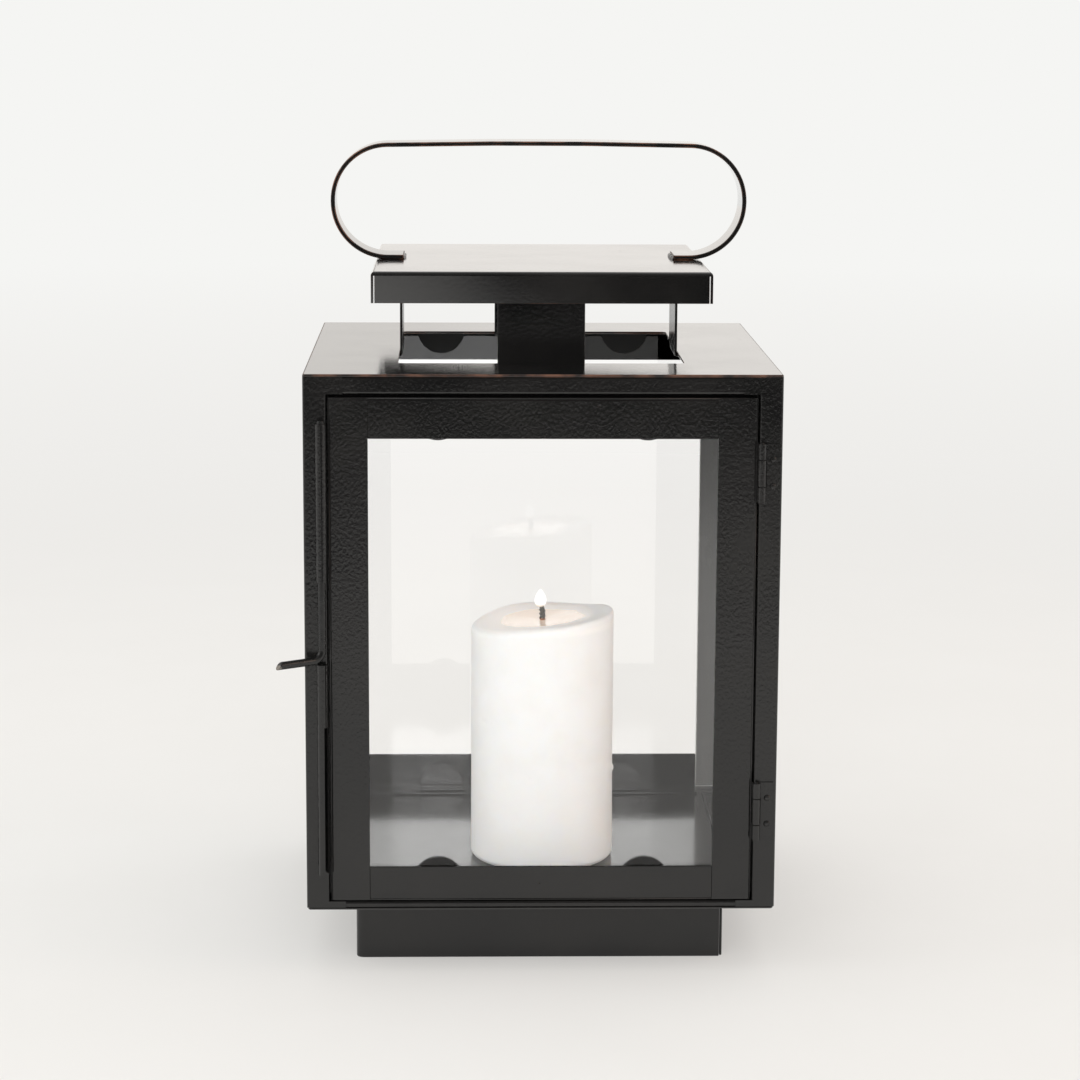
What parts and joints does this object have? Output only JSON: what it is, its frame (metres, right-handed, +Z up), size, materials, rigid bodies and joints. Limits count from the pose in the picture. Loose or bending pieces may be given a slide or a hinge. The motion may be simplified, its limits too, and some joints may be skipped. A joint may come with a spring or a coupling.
{
  "type": "candle lantern",
  "caption": "Square glazed candle lantern of black sheet metal on a plinth, with a hinged front door, turning wire latch, vented chimney cap, strip carry handle and pillar candle.",
  "frame": {"origin": "on the ground under the middle of the plinth", "axes": "+Z up, the door faces -Y with its hinges at +X and its latch at -X"},
  "size_m": [0.1903, 0.1937, 0.315],
  "materials": {
    "black_enamel": "glossy black coating with a fine orange-peel texture, worn brown at the edges",
    "clear_glass": "clear sheet glass",
    "white_wax": "smooth white paraffin wax",
    "wick_cotton": "waxed and charred cotton braid"
  },
  "bodies": {
    "lantern_body": {"back_glass_clips": "black_enamel", "bottom_rail_back": "black_enamel", "bottom_rail_front": "black_enamel", "bottom_rail_left": "black_enamel", "bottom_rail_right": "black_enamel", "carry_handle": "black_enamel", "chimney_cap": "black_enamel", "chimney_strut_back": "black_enamel", "chimney_strut_front": "black_enamel", "chimney_strut_left": "black_enamel", "chimney_strut_right": "black_enamel", "floor_plate": "black_enamel", "glass_back": "clear_glass", "glass_left": "clear_glass", "glass_right": "clear_glass", "hinge_lower_pin": "black_enamel", "hinge_lower_post_leaf": "black_enamel", "hinge_rivets": "black_enamel", "hinge_upper_pin": "black_enamel", "hinge_upper_post_leaf": "black_enamel", "latch_sleeve_lower": "black_enamel", "latch_sleeve_upper": "black_enamel", "left_glass_clips": "black_enamel", "plinth": "black_enamel", "post_back_left": "black_enamel", "post_back_right": "black_enamel", "post_front_left": "black_enamel", "post_front_right": "black_enamel", "right_glass_clips": "black_enamel", "roof_plate": "black_enamel", "top_rail_back": "black_enamel", "top_rail_front": "black_enamel", "top_rail_left": "black_enamel", "top_rail_right": "black_enamel"},
    "door": {"door_stile_left": "black_enamel", "door_stile_right": "black_enamel", "door_rail_top": "black_enamel", "door_rail_bottom": "black_enamel", "door_glass": "clear_glass", "door_glass_clips": "black_enamel", "hinge_upper_door_leaf": "black_enamel", "hinge_lower_door_leaf": "black_enamel"},
    "latch": {"latch_wire": "black_enamel"},
    "candle": {"candle_wax": "white_wax", "candle_wick": "wick_cotton"}
  },
  "joints": [
    {"name": "door_hinge", "type": "hinge", "parent": "lantern_body", "child": "door", "pos_m": [0.08215, -0.0919, 0.13], "axis": [0, 0, 1], "range_deg": [0, 170]},
    {"name": "latch_turn", "type": "hinge", "parent": "lantern_body", "child": "latch", "pos_m": [-0.0832, -0.092, 0.124], "axis": [0, 0, 1], "range_deg": [-33, 147]},
    {"name": "candle_lift", "type": "slide", "parent": "lantern_body", "child": "candle", "axis": [0, 0, 1], "range_m": [0, 0.06]}
  ]
}
